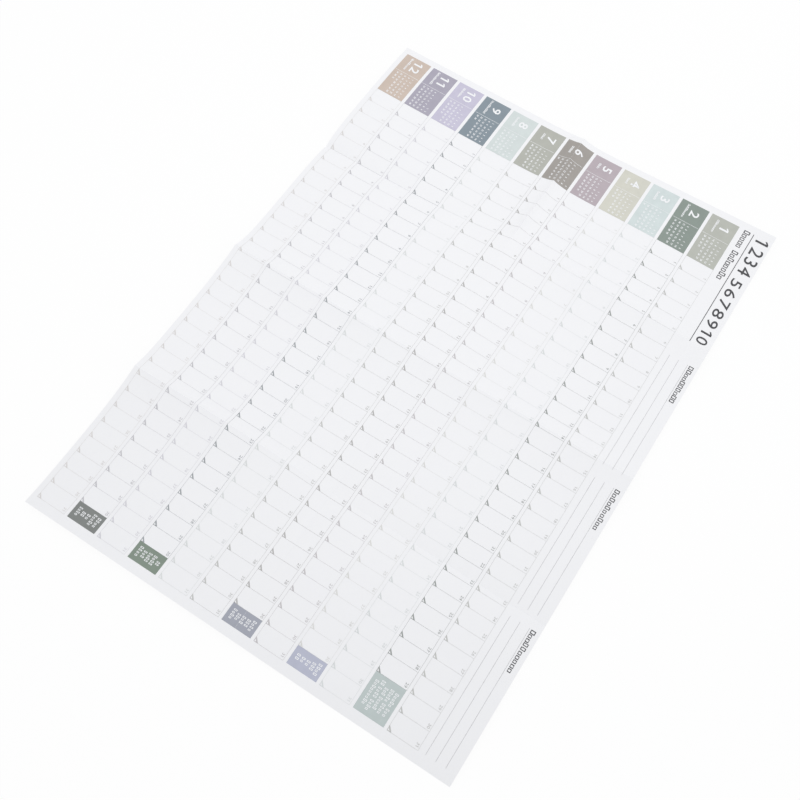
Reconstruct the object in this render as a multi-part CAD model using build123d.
from build123d import *
from math import ceil
import os

# A wall calendar: one large printed sheet of coated paper, which was folded to an eighth for its packet
# and opened out again. It lies print up, as it would on a table.
# Origin: middle of the sheet, on the table. +X runs along the months' rows, from the month names to the
# last day. +Y runs from the last month to the title. +Z points up, out of the printed side. Millimetres.
#
# The whole form is in the creases. The sheet was folded end to end, then side to side, then end to end
# again, so a crease turns from a ridge into a furrow wherever it crosses one that was made before it.
# Paper keeps a bend beside a crease: a flank falls away from a ridge, or climbs out of a furrow, steeply at
# first and then ever more gently, until the panel lies nearly flat.

# The sheet
sheet_length = 740.0
sheet_width = 520.0
paper_thickness = 0.2

# The folding: panels in a row along the sheet, with one lengthwise fold between two such rows
panels_along = 4
panels_across = 2

# Heights of the underside above the table, from the months' end to the last day's end. Heights at the two
# ends and on the creases take turns with heights in the middle of a panel.
top_edge_heights = [7.5, 1.0, 10.5, 2.5, 13.5, 2.5, 0.0, 4.0, 0.0]
long_fold_heights = [5.5, 12.0, 18.0, 13.0, 12.0, 1.0, 0.0, 3.0, 3.5]
bottom_edge_heights = [3.0, 8.0, 0.0, 5.5, 17.0, 7.5, 14.0, 2.0, 4.5]

# Heights half way along each panel, beside the lengthwise fold and beside the sheet's edge, in the row beside
# the title and in the row beside the last month
title_row_heights = [(4.0, 6.5), (1.0, 1.0), (3.0, 3.0), (4.5, 4.5)]
last_row_heights = [(3.0, 6.5), (7.0, 7.0), (0.5, 0.5), (3.0, 1.0)]

# The sheet's end beside the month names sinks beside its crest and then climbs straight to its corners. The
# two heights are where these straight parts would meet the lengthwise fold. No other line sinks so.
title_row_feet = [-1.6] + top_edge_heights[2::2]
last_row_feet = [1.5] + bottom_edge_heights[2::2]

# How tightly a bend sits against its crease. The height fades as (1 - distance / panel) to this power, so
# a high power is a crisp crease and a low one a wide, soft swell.
crisp = 10
soft = 5
toward_months = [crisp, crisp, crisp, crisp]
title_row_away = [soft, soft, soft, crisp]
last_row_away = [soft, crisp, soft, soft]
long_fold_reach = [20, 2, 4, 4]
along_long_fold = 4
outer_edge_reach = 3

# How each cross crease, and each end of the sheet, leaves its height at the lengthwise fold: 1 is a
# straight ridge, more is a quick drop or climb to the height that it has at the outer edge
title_row_run = [20, 1, 1, 1, 4]
last_row_run = [20, 4, 1, 3, 4]

panel_length = sheet_length / panels_along
panel_width = sheet_width / panels_across
degree_along = ceil(max(toward_months + title_row_away + last_row_away + [along_long_fold]))
degree_across = ceil(max(long_fold_reach + title_row_run + last_row_run + [outer_edge_reach]))


def fading(power, degree):
    """Bezier control values of (1 - s) ** power, which is 1 at the crease and 0 a panel away.

    They are exact for a whole power, and follow the same curve closely for one in between.
    """
    values = [1.0]
    for k in range(degree):
        values.append(values[-1] * (degree - power - k) / (degree - k))
    return values


def rising(power, degree):
    """The same bend beside the crease at the panel's far side."""
    return fading(power, degree)[::-1]


def straight(start, end):
    """Control heights of a straight line from the lengthwise fold out to the sheet's edge."""
    return [start + (end - start) * k / degree_across for k in range(degree_across + 1)]


def crease_line(height_at_fold, foot, height_at_edge, run):
    """Control heights of a cross crease, or of an end of the sheet, from the lengthwise fold outwards."""
    crest = fading(run, degree_across)
    return [base + (height_at_fold - foot) * w for base, w in zip(straight(foot, height_at_edge), crest)]


def row_line(heights, panel, near, far):
    """Control heights along one panel of an edge or of the lengthwise fold."""
    start, middle, end = heights[2 * panel:2 * panel + 3]
    return [middle + (start - middle) * a + (end - middle) * b for a, b in zip(near, far)]


def panel_heights(panel, edge_heights, middles, away, feet, run):
    """Control heights of one panel: a middle that lies nearly flat, hung from the four lines around it."""
    middle = straight(*middles[panel])
    near = fading(away[panel], degree_along)
    far = rising(toward_months[panel], degree_along)
    fold = fading(long_fold_reach[panel], degree_across)
    edge = rising(outer_edge_reach, degree_across)

    near_crease, far_crease = [
        crease_line(long_fold_heights[2 * k], feet[k], edge_heights[2 * k], run[k]) for k in (panel, panel + 1)]
    fold_line = row_line(long_fold_heights, panel,
                         fading(along_long_fold, degree_along), rising(along_long_fold, degree_along))
    edge_line = row_line(edge_heights, panel, near, far)

    net = []
    for i in range(degree_along + 1):
        hung = [m + (a - m) * near[i] + (b - m) * far[i] for m, a, b in zip(middle, near_crease, far_crease)]
        net.append([height + (fold_line[i] - hung[0]) * fold[j] + (edge_line[i] - hung[-1]) * edge[j]
                    for j, height in enumerate(hung)])
    return net


def panel_points(panel, side):
    """Control points of one panel's underside; side is 1 beside the title and -1 beside the last month."""
    if side > 0:
        heights = panel_heights(panel, top_edge_heights, title_row_heights, title_row_away,
                                title_row_feet, title_row_run)
    else:
        heights = panel_heights(panel, bottom_edge_heights, last_row_heights, last_row_away,
                                last_row_feet, last_row_run)
    points = []
    for i, column in enumerate(heights):
        x = -sheet_length / 2 + panel_length * (panel + i / degree_along)
        points.append([Vector(x, side * panel_width * j / degree_across, z) for j, z in enumerate(column)])
    return points


def raised(points):
    """The printed side of the sheet, one paper thickness above its underside."""
    return [[point + Vector(0, 0, paper_thickness) for point in column] for column in points]


def cut_edge(line):
    """The cut edge of the paper along one boundary line of a panel."""
    return Face.make_bezier_surface([line, raised([line])[0]])


def build_sheet():
    """One closed solid: the undersides and printed sides of all panels, and the cut edge around them."""
    faces = []
    for panel in range(panels_along):
        for side in (1, -1):
            points = panel_points(panel, side)
            faces.append(Face.make_bezier_surface(points))
            faces.append(Face.make_bezier_surface(raised(points)))
            faces.append(cut_edge([column[-1] for column in points]))
            if panel == 0:
                faces.append(cut_edge(points[0]))
            if panel == panels_along - 1:
                faces.append(cut_edge(points[-1]))
    return Solid(Shell(faces))


calendar_sheet = build_sheet()

os.makedirs("parts", exist_ok=True)
export_step(calendar_sheet, "parts/calendar_sheet.step")

box = calendar_sheet.bounding_box()
print("valid", calendar_sheet.is_valid)
print("faces", len(calendar_sheet.faces()))
print("volume", round(calendar_sheet.volume, 1))
print("size", round(box.size.X, 3), round(box.size.Y, 3), round(box.size.Z, 3))
